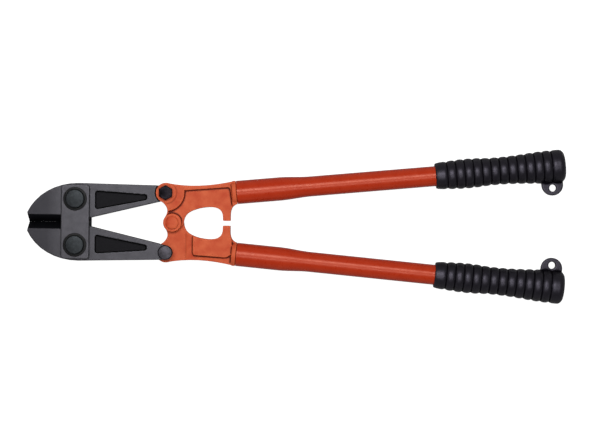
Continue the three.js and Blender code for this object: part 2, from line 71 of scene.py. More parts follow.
# %% Colour and node helpers
def linear(chart):
    """An sRGB hex colour as linear red, green, blue and alpha."""
    channels = [int(chart[i : i + 2], 16) / 255 for i in (0, 2, 4)]
    curved = [c / 12.92 if c <= 0.04045 else ((c + 0.055) / 1.055) ** 2.4 for c in channels]
    return (*curved, 1.0)


def add(tree, kind, sockets=None, **settings):
    """A new node with its settings, and with each named socket set to a value or linked to an output."""
    node = tree.nodes.new(kind)
    for name, value in settings.items():
        setattr(node, name, value)
    for name, value in (sockets or {}).items():
        if isinstance(value, bpy.types.NodeSocket):
            tree.links.new(value, node.inputs[name])
        else:
            node.inputs[name].default_value = value
    return node


def new_material(name):
    """An empty material with its shader and output in place."""
    material = bpy.data.materials.new(name)
    material.use_nodes = True
    tree = material.node_tree
    tree.nodes.clear()
    shader = add(tree, "ShaderNodeBsdfPrincipled")
    add(tree, "ShaderNodeOutputMaterial", {"Surface": shader.outputs[0]})
    return material, tree, shader


# %% [markdown]
# Patterns are sized in millimetres. A noise texture on Object coordinates repeats about once per unit
# divided by its scale, so a grain of a given size in millimetres needs a scale of 1000 over that size.


# %% Pattern helpers
def grain(tree, size_mm, detail=3.0, stretch=(1, 1, 1)):
    """A noise whose blobs are about size_mm across, stretched if wanted."""
    place = add(tree, "ShaderNodeTexCoord")
    mapped = add(tree, "ShaderNodeMapping", {"Vector": place.outputs["Object"], "Scale": stretch})
    sockets = {"Vector": mapped.outputs[0], "Scale": 1 / (size_mm * MM), "Detail": detail}
    return add(tree, "ShaderNodeTexNoise", sockets).outputs["Fac"]


def spread(tree, value, low, high, to_low=0.0, to_high=1.0):
    """A value stretched from one range to another and held inside it."""
    sockets = {"Value": value, "From Min": low, "From Max": high, "To Min": to_low, "To Max": to_high}
    return add(tree, "ShaderNodeMapRange", sockets, clamp=True).outputs[0]


def blend_colour(tree, share, first, second):
    """The first colour turning to the second as share goes from 0 to 1."""
    node = add(tree, "ShaderNodeMix", {0: share, 6: first, 7: second}, data_type="RGBA")
    return node.outputs[2]


def relief(tree, shader, height, depth_mm, strength=1.0):
    """Fine height detail on a shader, depth_mm deep."""
    sockets = {"Height": height, "Distance": depth_mm * MM, "Strength": strength}
    bump = add(tree, "ShaderNodeBump", sockets)
    tree.links.new(bump.outputs[0], shader.inputs["Normal"])


# %% [markdown]
# ## Camera, light and floor
# The tool is seen from straight above, with a long lens so that its thickness hardly shows. One broad soft
# lamp stands to the upper left, which draws a bright streak along each tube above its middle. The world
# fills the shadows, dimmer overhead than near the horizon, and is plain white where the camera sees it. The
# floor is pale grey paper that lifts itself to white for the camera alone, so it adds no light to the tool.

# %% Camera
VIEW_WIDTH = 502.8 * MM
VIEW_CENTRE = Vector((2.9 * MM, 3.4 * MM))
CAMERA_HEIGHT = 1.6
CAMERA_ROLL = math.radians(0.6)
camera_data = bpy.data.cameras.new("camera")
camera_data.sensor_width = 36
camera_data.lens = camera_data.sensor_width * (CAMERA_HEIGHT - middle_z) / VIEW_WIDTH
camera = bpy.data.objects.new("camera", camera_data)
camera.location = (VIEW_CENTRE.x, VIEW_CENTRE.y, CAMERA_HEIGHT)
camera.rotation_euler = (0, 0, CAMERA_ROLL)
bpy.context.scene.collection.objects.link(camera)
bpy.context.scene.camera = camera
print("lens:", round(camera_data.lens, 1), "mm")


# %% Lamps and world
def soft_lamp(name, place, length, width, watts):
    """A long area lamp that faces the middle of the tool, with its length along the handles."""
    lamp = bpy.data.lights.new(name, "AREA")
    lamp.shape = "RECTANGLE"
    lamp.size = length
    lamp.size_y = width
    lamp.energy = watts
    holder = bpy.data.objects.new(name, lamp)
    holder.location = place
    holder.rotation_euler = Vector(place).to_track_quat("Z", "Y").to_euler()
    bpy.context.scene.collection.objects.link(holder)


soft_lamp("key_lamp", (-0.08, 0.34, 1.20), 0.80, 0.34, 11.2)
soft_lamp("fill_lamp", (0.05, -0.26, 1.25), 0.80, 0.26, 4.8)

LOW_SKY, HIGH_SKY = 0.1, 0.75
LOW_SKY_LIGHT, HIGH_SKY_LIGHT = 0.5, 0.11
world = bpy.data.worlds.new("studio")
world.use_nodes = True
bpy.context.scene.world = world
sky = world.node_tree
sky.nodes.clear()
ray = add(sky, "ShaderNodeLightPath")
seen = add(sky, "ShaderNodeMath", {0: ray.outputs["Is Camera Ray"], 1: ray.outputs["Is Transmission Ray"]},
           operation="MAXIMUM")
height = add(sky, "ShaderNodeSeparateXYZ", {0: add(sky, "ShaderNodeTexCoord").outputs["Generated"]})
lit = spread(sky, height.outputs["Z"], LOW_SKY, HIGH_SKY, LOW_SKY_LIGHT, HIGH_SKY_LIGHT)
bright = add(sky, "ShaderNodeMix", {0: seen.outputs[0], 2: lit, 3: 1.0}).outputs[0]
background = add(sky, "ShaderNodeBackground", {"Color": (1, 1, 1, 1), "Strength": bright})
add(sky, "ShaderNodeOutputWorld", {"Surface": background.outputs[0]})
bpy.context.scene.view_settings.view_transform = "Standard"
print("lamps:", [light.name for light in bpy.data.lights])


# %% Floor
FLOOR_HALF = 4.0
FLOOR_LEVEL = -0.05 * MM
FLOOR_LIFT = 0.93


def floor_paper():
    """Matt white paper that keeps the tool's soft shadow."""
    material = bpy.data.materials.new("floor_paper")
    material.use_nodes = True
    tree = material.node_tree
    tree.nodes.clear()
    path = add(tree, "ShaderNodeLightPath")
    lift = spread(tree, path.outputs["Is Camera Ray"], 0, 1, 0.0, FLOOR_LIFT)
    paper = add(tree, "ShaderNodeBsdfDiffuse", {"Color": linear("9a9a9a")})
    glow = add(tree, "ShaderNodeEmission", {"Color": (1, 1, 1, 1), "Strength": lift})
    both = add(tree, "ShaderNodeAddShader", {0: paper.outputs[0], 1: glow.outputs[0]})
    add(tree, "ShaderNodeOutputMaterial", {"Surface": both.outputs[0]})
    return material


floor_mesh = bpy.data.meshes.new("floor")
square = ((-1, -1), (1, -1), (1, 1), (-1, 1))
corners = [(x * FLOOR_HALF, y * FLOOR_HALF, FLOOR_LEVEL) for x, y in square]
floor_mesh.from_pydata(corners, [], [(0, 1, 2, 3)])
floor_mesh.materials.append(floor_paper())
floor = bpy.data.objects.new("floor", floor_mesh)
bpy.context.scene.collection.objects.link(floor)
print("floor:", 2 * FLOOR_HALF, "m wide")

# %% [markdown]
# ## Finishes
# Forged jaws come out of the furnace with a thin dark scale, and are then oiled. The scale is nearly black
# but still metal, so the colour sits in the metal's own reflection. Handling rubs it brighter on the
# corners, and the hollows are painted darker as shade. A number stored at each point of the mesh, called
# hollow, tells the two apart.


# %% Steels
SHADE_FROM_MM = 0.02
RIDGE_FROM_MM = -0.04
GROUND_SHADES = (0.86, 1.12)
NOSE_FADE = 12 * MM
NOSE_SHARE = 0.75
SCALE_AND_SHADE_START = 0.5 * MM
SCALE_AND_SHADE_END = 0.15 * MM
SCALE_SHADE = 0.26
HOLLOW_SHADE = 0.12
RIDGE_SHARE = 0.35
RIDGE_SHADE = 1.5


def shaded(colour, factor):
    """A linear colour made darker or lighter by a factor."""
    return [channel * factor for channel in colour[:3]] + [1]


def corner_shade_and_wear(tree, full_mm):
    """How hollow a place is, for the painted corner shade, and how ridged, for the wear, each from 0 to 1."""
    felt = add(tree, "ShaderNodeAttribute", attribute_name="hollow").outputs["Fac"]
    return spread(tree, felt, SHADE_FROM_MM, full_mm), spread(tree, felt, RIDGE_FROM_MM, -full_mm)


def blackened_steel(name, ground, scale, faces, nose, roughness):
    """Blackened steel with ground outer faces, black scale and painted shade below them, and a darker
    hardened nose.

    faces is the distance from the middle plane below which the forging's own scale is left, painted darker as
    shade.
    nose is where along X the hardened end has fully begun, or None."""
    material, tree, shader = new_material(name)
    clouds = spread(tree, grain(tree, 7.0, detail=4.0), 0.3, 0.7)
    pits = grain(tree, 0.8, detail=5.0)
    hollow, ridge = corner_shade_and_wear(tree, 0.25)
    body = linear(ground)
    skin = blend_colour(tree, clouds, *(shaded(body, factor) for factor in GROUND_SHADES))
    place = add(tree, "ShaderNodeSeparateXYZ", {0: add(tree, "ShaderNodeTexCoord").outputs["Object"]}).outputs
    if nose is not None:
        hard = spread(tree, place["X"], nose, nose + NOSE_FADE, NOSE_SHARE, 0.0)
        skin = blend_colour(tree, hard, skin, linear(scale))
    off_middle = add(tree, "ShaderNodeMath", {0: place["Z"], 1: middle_z}, operation="SUBTRACT").outputs[0]
    outward = add(tree, "ShaderNodeMath", {0: off_middle}, operation="ABSOLUTE").outputs[0]
    # painted shade: below the ground faces the scale colour is darkened much further, which shades recessed
    # floors and flanks
    below = spread(tree, outward, faces - SCALE_AND_SHADE_START, faces - SCALE_AND_SHADE_END, 1.0, 0.0)
    colour = blend_colour(tree, below, skin, shaded(linear(scale), SCALE_SHADE))
    # painted shade: the hollows are darkened to near black, as the shade that falls in them
    colour = blend_colour(tree, hollow, colour, shaded(linear(scale), HOLLOW_SHADE))
    rubbed = add(tree, "ShaderNodeMath", {0: ridge, 1: RIDGE_SHARE}, operation="MULTIPLY").outputs[0]
    colour = blend_colour(tree, rubbed, colour, shaded(body, RIDGE_SHADE))
    tree.links.new(colour, shader.inputs["Base Color"])
    shader.inputs["Metallic"].default_value = 0.85
    # painted shade: recessed floors and flanks also reflect less, partly for the duller scale and partly as
    # shade
    tree.links.new(spread(tree, below, 0.0, 1.0, 0.5, 0.2), shader.inputs["Specular IOR Level"])
    gloss = spread(tree, pits, 0.3, 0.7, roughness - 0.06, roughness + 0.1)
    tree.links.new(gloss, shader.inputs["Roughness"])
    relief(tree, shader, pits, 0.06, 0.6)
    return material


def ground_steel():
    """The cutting bevels: hardened steel ground across the edge, with a near-black colour painted on as the
    shade of the slot they face.
    """
    material, tree, shader = new_material("ground_edge_steel")
    lines = grain(tree, 0.5, detail=2.0, stretch=(1, 0.08, 0.08))
    # painted shade: the near-black colour stands for the shade down the slot between the jaws
    shader.inputs["Base Color"].default_value = linear("1c1c20")
    shader.inputs["Metallic"].default_value = 1.0
    tree.links.new(spread(tree, lines, 0.3, 0.7, 0.3, 0.5), shader.inputs["Roughness"])
    relief(tree, shader, lines, 0.03, 0.5)
    return material


def plated_steel(name, low, high, roughness, metal=0.9):
    """Bolt steel with a dark satin plating: streaks between two close colours, and a fine grain."""
    material, tree, shader = new_material(name)
    streaks = spread(tree, grain(tree, 2.2, detail=4.0), 0.3, 0.7)
    tree.links.new(blend_colour(tree, streaks, linear(low), linear(high)), shader.inputs["Base Color"])
    shader.inputs["Metallic"].default_value = metal
    fine = grain(tree, 0.5, detail=4.0)
    gloss = spread(tree, fine, 0.3, 0.7, roughness - 0.06, roughness + 0.1)
    tree.links.new(gloss, shader.inputs["Roughness"])
    relief(tree, shader, fine, 0.02, 0.5)
    return material


def oxide_washer_steel():
    """Spring steel washers in black oxide, darker than all round them."""
    material, tree, shader = new_material("black_oxide_steel")
    fine = grain(tree, 0.7, detail=4.0)
    shader.inputs["Base Color"].default_value = linear("0a0a0b")
    shader.inputs["Metallic"].default_value = 0.3
    shader.inputs["Specular IOR Level"].default_value = 0.15
    tree.links.new(spread(tree, fine, 0.3, 0.7, 0.35, 0.55), shader.inputs["Roughness"])
    return material


# %% [markdown]
# The cast heads are dipped in an orange-red enamel. The corners are painted darker and redder as shade,
# which also stands for the thick paint that pools there, and the paint thins over the ridges, where it looks
# lighter. The sand mould leaves a grain of about a millimetre that the paint softens but doesn't hide. The
# tubes are drawn smooth, so the same enamel is glossier on them, with only a slight orange peel.


# %% Paints
def enamel(name, colours, roughness, sheen, peel_mm, peel_depth):
    """Orange-red enamel: body colour, a corner colour painted as shade and pooled paint, a thin colour, and a
    skin of a given sheen, grain and depth.
    """
    body, shade_and_pool_colour, thin = (linear(chart) for chart in colours)
    material, tree, shader = new_material(name)
    patches = spread(tree, grain(tree, 8.0, detail=5.0), 0.32, 0.68, 0.0, 0.7)
    hollow, ridge = corner_shade_and_wear(tree, 0.16)
    skin = blend_colour(tree, patches, body, thin)
    # painted shade: the hollows take the darker, redder colour, which also stands for pooled paint
    corner_shaded = blend_colour(tree, hollow, skin, shade_and_pool_colour)
    thinned = add(tree, "ShaderNodeMath", {0: ridge, 1: 0.5}, operation="MULTIPLY").outputs[0]
    colour = blend_colour(tree, thinned, corner_shaded, thin)
    tree.links.new(colour, shader.inputs["Base Color"])
    peel = grain(tree, peel_mm, detail=2.0)
    gloss = spread(tree, peel, 0.3, 0.7, roughness - 0.05, roughness + 0.07)
    tree.links.new(gloss, shader.inputs["Roughness"])
    shader.inputs["Specular IOR Level"].default_value = sheen
    shader.inputs["Specular Tint"].default_value = linear("ffbca4")
    relief(tree, shader, peel, peel_depth, 0.6)
    return material


# %% [markdown]
# The grips are soft vinyl, dipped or moulded over the tube. The mould is sand-blasted, so the skin is a
# very fine leather grain that spreads each highlight to a dull violet-grey patch.


# %% Vinyl
def grip_vinyl():
    """Soft black vinyl with a fine blasted grain."""
    material, tree, shader = new_material("moulded_black_vinyl")
    fine = grain(tree, 0.6, detail=3.0)
    dusty = spread(tree, grain(tree, 12.0), 0.4, 0.7, 0.0, 0.4)
    colour = blend_colour(tree, dusty, linear("060508"), linear("0e0c12"))
    tree.links.new(colour, shader.inputs["Base Color"])
    tree.links.new(spread(tree, fine, 0.3, 0.7, 0.36, 0.5), shader.inputs["Roughness"])
    # painted shade: the reflection fades out in the hollows, so the grooves between the ribs look shaded
    felt = add(tree, "ShaderNodeAttribute", attribute_name="hollow").outputs["Fac"]
    tree.links.new(spread(tree, felt, -0.02, 0.1, 0.44, 0.02), shader.inputs["Specular IOR Level"])
    relief(tree, shader, fine, 0.04, 0.5)
    shader.inputs["Specular Tint"].default_value = linear("efe8ff")
    return material


# %% Make the finishes once
NOSE_HARD = jaw_centre["upper"].x - 24 * MM
JAW_STEEL = blackened_steel("blackened_forged_steel", "39383c", "232226", 6.5 * MM, NOSE_HARD, 0.44)
# on the straps everything under the outer face, their flanks included, takes the painted shade of a shadow
# line
STRAP_STEEL = blackened_steel("blackened_strap_plate", "3a393d", "232226", 10.8 * MM, None, 0.42)
EDGE_STEEL = ground_steel()
BOLT_STEEL = plated_steel("dark_zinc_bolt_steel", "1c1e20", "26292b", 0.42)
REAR_BOLT_STEEL = plated_steel("satin_bolt_steel", "2e2c30", "3b393f", 0.42)
NUT_STEEL = plated_steel("black_oxide_nut_steel", "19171a", "211e23", 0.5, metal=1.0)
WASHER_STEEL = oxide_washer_steel()
# the second colour of each enamel is painted into the hollows as shade, partly pooled paint
CASTING_ENAMEL = enamel("cast_iron_enamel", ("ae3e22", "4c0c03", "c9603c"), 0.5, 0.3, 1.1, 0.08)
TUBE_ENAMEL = enamel("tube_enamel", ("a42a0f", "6c1404", "ac3216"), 0.3, 0.45, 2.4, 0.008)
VINYL = grip_vinyl()
print("finishes:", [m.name for m in bpy.data.materials])

# %% [markdown]
# ## From engineering solid to made surface
# An engineering solid has knife-sharp corners. Forging, casting and tumbling round every one of them. A
# solid is copied, wrapped in a fine even skin and relaxed a few times, which rounds a corner by about the
# skin's grain times the square root of the number of passes, while flat faces stay where they are.


# %% Mesh helpers
SMOOTHING = 0.5
CORNER_PASSES = 40
SAME_POINT = 0.001 * MM


def coordinates(mesh):
    """The points of a mesh as rows of x, y, z."""
    flat = np.empty(len(mesh.vertices) * 3)
    mesh.vertices.foreach_get("co", flat)
    return flat.reshape(-1, 3)


def points_of(node):
    """The corner points of an engineering node, in metres."""
    return coordinates(frame["nodes"][node].data)


def baked(mesh, *modifiers):
    """The mesh after a row of modifiers, each given as its kind and settings."""
    holder = bpy.data.objects.new("workpiece", mesh)
    bpy.context.scene.collection.objects.link(holder)
    for kind, settings in modifiers:
        modifier = holder.modifiers.new(kind.lower(), kind)
        for key, value in settings.items():
            setattr(modifier, key, value)
    graph = bpy.context.evaluated_depsgraph_get()
    made = bpy.data.meshes.new_from_object(holder.evaluated_get(graph))
    bpy.data.objects.remove(holder)
    return made


def merged(*meshes):
    """Several meshes as one, with doubled points joined and faces turned outwards."""
    shape = bmesh.new()
    for mesh in meshes:
        shape.from_mesh(mesh)
    bmesh.ops.remove_doubles(shape, verts=shape.verts, dist=SAME_POINT)
    bmesh.ops.recalc_face_normals(shape, faces=shape.faces)
    joined = bpy.data.meshes.new("blank")
    shape.to_mesh(joined)
    shape.free()
    joined.materials.clear()
    return joined


def softened(mesh, skin_mm, passes):
    """A closed mesh with every corner rounded by an even skin."""
    skin = {"mode": "VOXEL", "voxel_size": skin_mm * MM, "adaptivity": 0.0}
    return baked(mesh, ("REMESH", skin), ("SMOOTH", {"factor": SMOOTHING, "iterations": passes}))


def softened_node(node, skin_mm, passes):
    """An engineering node's solid with its corners rounded."""
    return softened(merged(frame["nodes"][node].data), skin_mm, passes)


def feel_corners(mesh, passes=CORNER_PASSES):
    """Stores how hollow each place is, in millimetres: above 0 in a corner, below 0 on a ridge."""
    normals = np.empty(len(mesh.vertices) * 3)
    mesh.vertices.foreach_get("normal", normals)
    copy = mesh.copy()
    relaxed = baked(copy, ("SMOOTH", {"factor": SMOOTHING, "iterations": passes}))
    bpy.data.meshes.remove(copy)
    moved = (coordinates(relaxed) - coordinates(mesh)) * normals.reshape(-1, 3)
    hollow = mesh.attributes.new("hollow", "FLOAT", "POINT")
    hollow.data.foreach_set("value", moved.sum(axis=1) / MM)


def show(name, mesh, body, slot, nodes, *materials):
    """A finished mesh as a named piece that rides on a body and stands for engineering nodes."""
    mesh.name = name
    for material in materials:
        mesh.materials.append(material)
    mesh.shade_smooth()
    piece = bpy.data.objects.new(name, mesh)
    bpy.context.scene.collection.objects.link(piece)
    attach(piece, body)
    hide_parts(*nodes)
    print(name, "-", len(mesh.polygons), "faces")


# %% [markdown]
# ## Jaws
# Each jaw is drop-forged with its long lever arm in one blow, pocketed to save weight, then ground to a
# bevel behind the cutting edge. The forging keeps soft corners, and the ground bevel keeps a crisp one, so
# the bevel's faces are found by their slope and given the ground finish.

# %% Forge the two jaws
JAW_SKIN = {"skin_mm": 0.4, "passes": 5}
STRAP_REACH = 11.8 * MM
BEVEL_WIDTH = 5.9 * MM
BEVEL_SLOPE = 0.93
EDGE_ZONE = 0.2 * MM
EDGE_ALLOWANCE = 1.3 * MM
EDGE_GAP = 0.005 * MM


def mark_bevel(mesh, centre):
    """Gives the ground finish to the sloping faces between the nose and the straps."""
    for face in mesh.polygons:
        out = abs(face.center.y)
        ahead = face.center.x < centre.x - STRAP_REACH
        if ahead and out < BEVEL_WIDTH and abs(face.normal.z) < BEVEL_SLOPE:
            face.material_index = 1


def edge_ready(mesh):
    """The jaw's solid with its inner edge carried past the middle, to allow for what grinding takes off."""
    for vertex in mesh.vertices:
        if abs(vertex.co.y) < EDGE_ZONE:
            vertex.co.y -= math.copysign(EDGE_ALLOWANCE, vertex.co.y)
    return mesh


def ground_to_meet(mesh, side_sign):
    """Flattens the inner edge so that the closed jaws meet with a hair's gap."""
    for vertex in mesh.vertices:
        if vertex.co.y * side_sign < EDGE_GAP:
            vertex.co.y = EDGE_GAP * side_sign


for side, side_sign in (("upper", 1), ("lower", -1)):
    node = side + "_jaw"
    forged = softened(edge_ready(merged(frame["nodes"][node].data)), **JAW_SKIN)
    ground_to_meet(forged, side_sign)
    feel_corners(forged)
    show(side + "_forged_jaw", forged, node, "jaw_steel", [node], JAW_STEEL, EDGE_STEEL)
    mark_bevel(forged, jaw_centre[side])

# %% [markdown]
# ## Straps
# The straps are punched from plate and tumbled, so their corners are only just broken.

# %% Punch the straps
STRAP_SKIN = {"skin_mm": 0.35, "passes": 4}
for node in ("strap_front", "strap_back"):
    plate = softened_node(node, **STRAP_SKIN)
    feel_corners(plate)
    show(node + "_plate", plate, "head", "strap_steel", [node], STRAP_STEEL)

# %% [markdown]
# ## Handle castings
# The heads are sand-cast in malleable iron. Sand can't hold a sharp corner, and thick enamel fills what is
# left, so these get the softest corners of all.

# %% Cast the handle heads
CASTING_SKIN = {"skin_mm": 0.4, "passes": 9}
for side in SIDES:
    node = side + "_handle_casting"
    cast = softened_node(node, **CASTING_SKIN)
    feel_corners(cast)
    show(side + "_cast_head", cast, side + "_handle", "casting_paint", [node], CASTING_ENAMEL)

# %% [markdown]
# ## Turned pieces
# Bolts, washers and tubes are round, so each is a profile turned about its axis with far more sides than
# the engineering solid needs. A bolt's tail carries a real rolled thread: its radius falls in a V that
# climbs one pitch for each turn.


# %% Turning helpers
SIDES_ROUND = 96
SHARP_EDGE = math.radians(50)
EASED_EDGE = math.radians(28)
TAIL_ZONE = 1.2 * MM
LEAST_REACH = 1 * MM
TAIL_SHARE = 0.9


def turned(profile, place, axis, thread=None, sides=SIDES_ROUND):
    """A closed profile of (radius, distance) pairs in metres, turned about an axis through a place."""
    turn = Vector(axis).to_track_quat("Z", "Y").to_matrix()
    rows = [row for row in profile if row[0] > 0]
    angles = [2 * math.pi * i / sides for i in range(sides)]
    shape = bmesh.new()

    def radius_at(radius, distance, angle):
        if not thread or not thread["low"] <= distance <= thread["high"]:
            return radius
        phase = (distance / thread["pitch"] - angle / (2 * math.pi)) % 1
        return radius - thread["depth"] * abs(2 * phase - 1)

    rings = []
    for radius, distance in rows:
        ring = []
        for angle in angles:
            reach = radius_at(radius, distance, angle)
            spot = Vector((reach * math.cos(angle), reach * math.sin(angle), distance))
            ring.append(shape.verts.new(turn @ spot + Vector(place)))
        rings.append(ring)
    for below, above in zip(rings, rings[1:]):
        for i in range(sides):
            j = (i + 1) % sides
            shape.faces.new((below[i], below[j], above[j], above[i]))
    if profile[0] != profile[-1]:
        shape.faces.new(list(reversed(rings[0])))
        shape.faces.new(rings[-1])
    bmesh.ops.remove_doubles(shape, verts=shape.verts, dist=SAME_POINT)
    bmesh.ops.recalc_face_normals(shape, faces=shape.faces)
    mesh = bpy.data.meshes.new("turned")
    shape.to_mesh(mesh)
    shape.free()
    return mesh


def eased(mesh, width_mm):
    """A turned mesh with its sharp corners broken by a small round."""
    settings = {"width": width_mm * MM, "segments": 3, "limit_method": "ANGLE",
                "angle_limit": EASED_EDGE, "use_clamp_overlap": True}
    made = baked(mesh, ("BEVEL", settings))
    made.shade_smooth()
    made.set_sharp_from_angle(angle=SHARP_EDGE)
    return made


def about_centre(node, centre):
    """Each point's distance from a bolt centre, and its height, for a node that stands upright."""
    points = points_of(node)
    return np.hypot(points[:, 0] - centre.x, points[:, 1] - centre.y), points[:, 2]


def shank_radius(node, centre):
    """The radius of a bolt's tail: the widest ring near an end that is well inside the head's width."""
    reach, height = about_centre(node, centre)
    end = np.minimum(height - height.min(), height.max() - height) < TAIL_ZONE
    small = reach[end & (reach > LEAST_REACH)]
    return small[small < TAIL_SHARE * reach.max()].max()


# %% [markdown]
# ## Bolts
# The jaw bolts have broad, nearly flat heads with a rounded rim. They are upset cold from bar, then the
# thread is rolled. The same maker's rule draws every bolt: dome, rim, shank and threaded tail. The tail
# keeps the black oxide of the nuts, while handling brightens the head.


# %% Head the bolts
JAW_BOLT = {"head_high": 3.2 * MM, "pitch": 1.75 * MM, "dome": 0.5}
REAR_BOLT = {"head_high": 3.4 * MM, "pitch": 1.25 * MM, "dome": 0.6}
TAIL_CHAMFER = 0.6 * MM
THREADED = 7.5 * MM
THREAD_START = 0.5 * MM
STEPS_A_PITCH = 6
WALL_SHARE = 0.42
RIM_SHARE = 0.36
CROWN_SHARE = 0.22


def bolt_mesh(node, centre, head_high, pitch, dome):
    """A bolt with its head at the end where the engineering node is widest."""
    reach, height = about_centre(node, centre)
    low, high = height.min(), height.max()
    middle = (low + high) / 2
    head_up = reach[height > middle].max() > reach[height < middle].max()
    head_r, length = reach.max(), high - low
    shank = shank_radius(node, centre)
    neck = length - head_high
    profile = [(0, 0), (shank - TAIL_CHAMFER, 0), (shank, TAIL_CHAMFER)]
    step = pitch / STEPS_A_PITCH
    profile += [(shank, TAIL_CHAMFER + step * (i + 1)) for i in range(int(THREADED / step))]
    rim_foot = neck + head_high * WALL_SHARE
    profile += [(shank, neck), (head_r, neck), (head_r, rim_foot)]
    rim = head_high * RIM_SHARE
    for i in range(1, 9):
        angle = math.pi / 2 * i / 8
        profile.append((head_r - rim * (1 - math.cos(angle)), rim_foot + rim * math.sin(angle)))
    crown = head_high * CROWN_SHARE * dome
    for i in range(1, 6):
        share = 1 - i / 6
        profile.append(((head_r - rim) * share, rim_foot + rim + crown * (1 - share ** 2)))
    thread = {"low": THREAD_START, "high": THREADED, "pitch": pitch, "depth": 0.5 * pitch}
    start = Vector((centre.x, centre.y, low if head_up else high))
    mesh = turned(profile, start, (0, 0, 1 if head_up else -1), thread)
    for face in mesh.polygons:
        face.material_index = int(abs(face.center.z - start.z) < THREADED)
    return mesh


def head_bolt(node, mesh, body, head_steel):
    """Shows a bolt, its head in one steel and its tail in the nuts' black."""
    show(node + "_headed", mesh, body, "bolt_steel", [node], head_steel, NUT_STEEL)
    mesh.set_sharp_from_angle(angle=SHARP_EDGE)


for side in SIDES:
    node = side + "_jaw_bolt"
    head_bolt(node, bolt_mesh(node, jaw_centre[side], **JAW_BOLT), "head", BOLT_STEEL)
    node = side + "_rear_bolt"
    head_bolt(node, bolt_mesh(node, rear_centre[side], **REAR_BOLT), side + "_jaw", REAR_BOLT_STEEL)

# %% [markdown]
# ## Nuts
# Nuts are hot-punched from hexagon bar and their faces turned, which leaves the round chamfer that cuts
# each corner. A thin skin keeps them crisp.

# %% Punch the nuts
NUT_SKIN = {"skin_mm": 0.16, "passes": 4}
for side in SIDES:
    for node, body in ((side + "_jaw_nut", "head"), (side + "_rear_nut", side + "_jaw")):
        nut = softened_node(node, **NUT_SKIN)
        show(node + "_hex", nut, body, "bolt_steel", [node], NUT_STEEL)

# %% [markdown]
# ## Washers and the centre rivet
# The washers are blanked rings with broken corners. The centre rivet was closed before painting, so its
# heads wear the same enamel as the castings.


# %% Blank the washers and close the rivet
WASHER_ROUND_MM = 0.25


def washer_mesh(node, centre):
    """A flat ring with its bore read from the engineering node."""
    reach, height = about_centre(node, centre)
    low, high = height.min(), height.max()
    outer, inner = reach.max(), reach.min()
    profile = [(inner, 0), (outer, 0), (outer, high - low), (inner, high - low), (inner, 0)]
    return turned(profile, (centre.x, centre.y, low), (0, 0, 1))


for side in SIDES:
    for face in ("front", "back"):
        node = side + "_jaw_washer_" + face
        mesh = eased(washer_mesh(node, jaw_centre[side]), WASHER_ROUND_MM)
        show(node + "_ring", mesh, "head", "washer_steel", [node], WASHER_STEEL)
        mesh.set_sharp_from_angle(angle=SHARP_EDGE)

RIVET_SKIN = {"skin_mm": 0.2, "passes": 6}
RIVET_PIECES = (("centre_rivet", "pivot_rivet", "lower_handle"),
                ("centre_rivet_front", "pivot_rivet_front_head", "upper_handle"))
for name, node, body in RIVET_PIECES:
    show(name, softened_node(node, **RIVET_SKIN), body, "casting_paint", [node], CASTING_ENAMEL)

# %% [markdown]
# ## Tubes
# Each handle is a steel tube pressed over the casting's spigot and drawn slimmer towards the grip. The
# engineering node gives the centre line and the radius of each ring. Between the rings the drawing die
# leaves a smooth S, so the profile eases in and out where the engineering one has straight cones.


# %% Draw the tubes
END_RING = 0.05 * MM


def centre_line(node):
    """The start and direction of a long round node, from the middles of its two end rings."""
    points = points_of(node)
    middle = points.mean(axis=0)
    axis = np.linalg.svd(points - middle, full_matrices=False)[2][0]
    axis = axis * np.sign(axis[0])
    along = (points - middle) @ axis
    first = points[along < along.min() + END_RING].mean(axis=0)
    last = points[along > along.max() - END_RING].mean(axis=0)
    return Vector(first), Vector(last - first).normalized()


def rings_of(node, start, axis):
    """The distances and outer radii of a round node's rings, in order."""
    offset = points_of(node) - np.array(start)
    along = offset @ np.array(axis)
    reach = np.linalg.norm(offset - np.outer(along, np.array(axis)), axis=1)
    table = {}
    for distance, radius in zip(along, reach):
        key = round(distance / MM, 1) * MM
        table[key] = max(table.get(key, 0), radius)
    return sorted(table.items())


WALL = 2.0 * MM
STEPS_A_CONE = 24
lines = {}
for side in SIDES:
    node = side + "_handle_tube"
    start, axis = lines[side] = centre_line(node)
    rings = rings_of(node, start, axis)
    profile = []
    for (from_d, from_r), (to_d, to_r) in zip(rings, rings[1:]):
        for i in range(STEPS_A_CONE):
            share = i / STEPS_A_CONE
            ease = share * share * (3 - 2 * share)
            profile.append((from_r + (to_r - from_r) * ease, from_d + (to_d - from_d) * share))
    profile.append((rings[-1][1], rings[-1][0]))
    inside = [(radius - WALL, distance) for radius, distance in reversed(profile)]
    mesh = turned(profile + inside + profile[:1], start, axis)
    show(side + "_drawn_tube", mesh, side + "_handle", "tube_paint", [node], TUBE_ENAMEL)
    mesh.set_sharp_from_angle(angle=SHARP_EDGE)
    print(side, "tube rings:", [(round(d / MM, 1), round(r / MM, 2)) for d, r in rings])

# %% [markdown]
# ## Grips
# Each grip is one vinyl moulding: a palm swell, a waist, a flared end, rows of round ribs for the fingers,
# and a flat eye at the tail for hanging the tool up. The ribs follow one rule, so a geometry tree makes
# them: a line along the tube is divided finely, each point is given a radius from the mould's outline less
# the groove at that distance, and a circle is swept along it. The numbers that a mould maker would want to
# change are the tree's named inputs.


